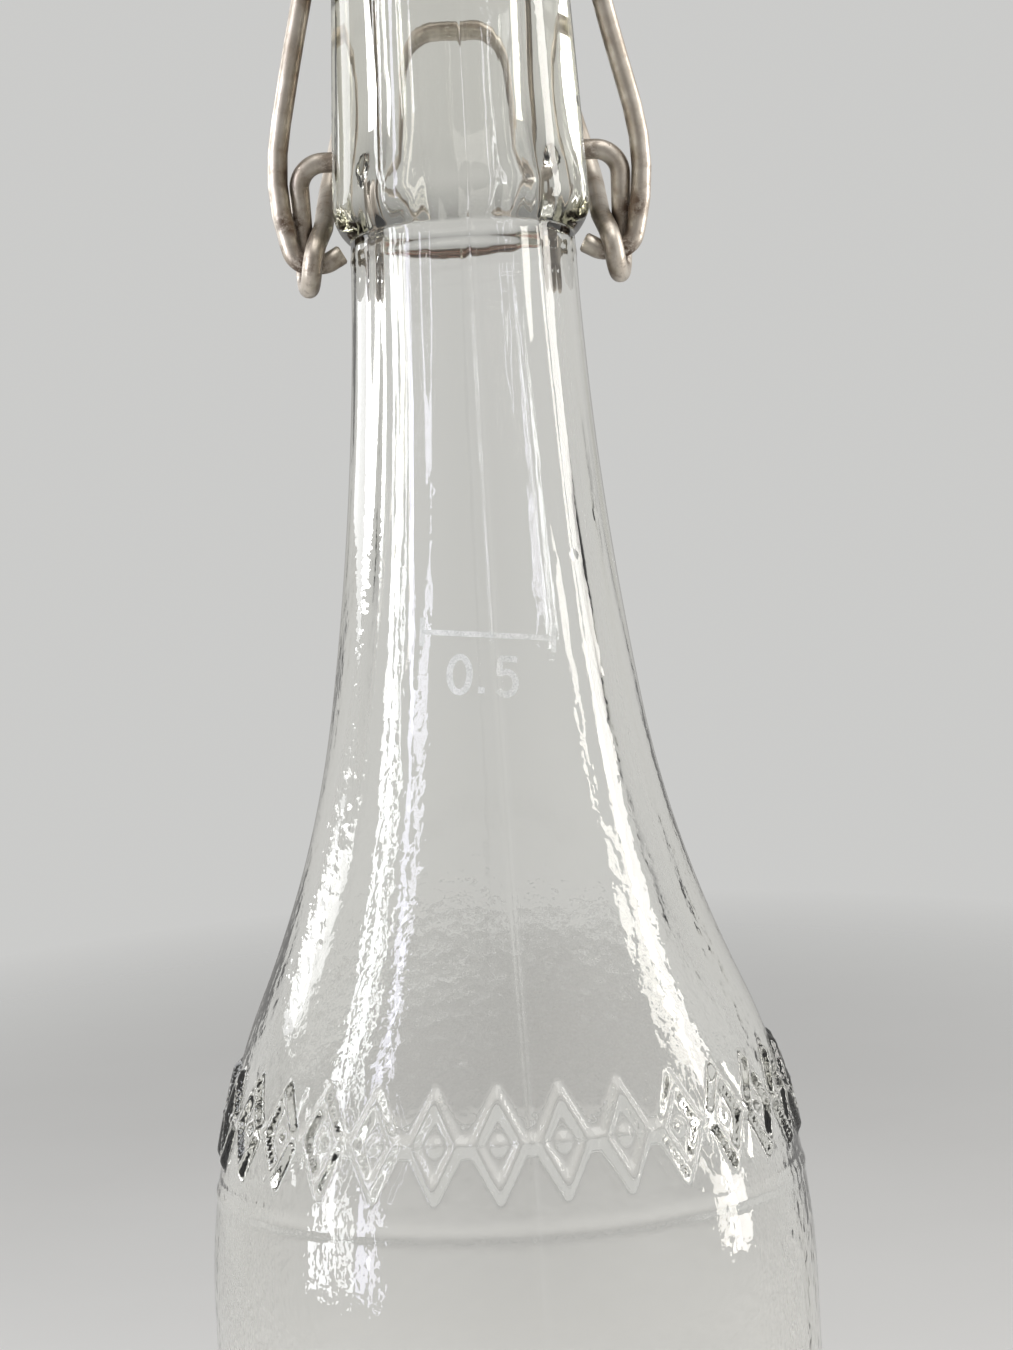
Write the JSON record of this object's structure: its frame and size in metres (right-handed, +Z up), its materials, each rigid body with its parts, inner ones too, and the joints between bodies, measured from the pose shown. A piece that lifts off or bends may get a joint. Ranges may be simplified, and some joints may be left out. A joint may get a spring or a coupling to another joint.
{
  "type": "swing top bottle",
  "caption": "Clear glass half litre bottle with a long flared neck, thick collar and wire swing closure: lever and bail press a porcelain stopper and rubber ring on the rim.",
  "frame": {"origin": "centre of the base at the plane the bottle stands on", "axes": "+Z up along the bottle's axis, X along the closure's pivot pins, +Y towards the back where the closed lever lies against the collar"},
  "size_m": [0.072, 0.072, 0.2871],
  "materials": {
    "glass": "clear, faintly grey green, lightly rippled",
    "wire": "dull tinned, worn",
    "porcelain": "white glaze",
    "rubber": "matt red"
  },
  "bodies": {
    "bottle": {"bottle": "glass"},
    "lever": {"lever_wire": "wire"},
    "bail": {"bail_wire": "wire"},
    "stopper": {"stopper": "porcelain", "gasket": "rubber"}
  },
  "joints": [
    {"name": "lever_swing", "type": "hinge", "parent": "bottle", "child": "lever", "pos_m": [0, 0, 0.24435], "axis": [-1, 0, 0], "range_deg": [0, 95]},
    {"name": "bail_swing", "type": "hinge", "parent": "lever", "child": "bail", "pos_m": [0, 0, 0.23225], "axis": [-1, 0, 0], "range_deg": [-72, 0]},
    {"name": "stopper_tilt", "type": "hinge", "parent": "bail", "child": "stopper", "pos_m": [0, 0, 0.278], "axis": [-1, 0, 0], "range_deg": [-24, 0]}
  ],
  "couplings": [
    {"joint": "bail_swing", "follows": "lever_swing", "ratio": -0.75},
    {"joint": "stopper_tilt", "follows": "lever_swing", "ratio": -0.25}
  ]
}
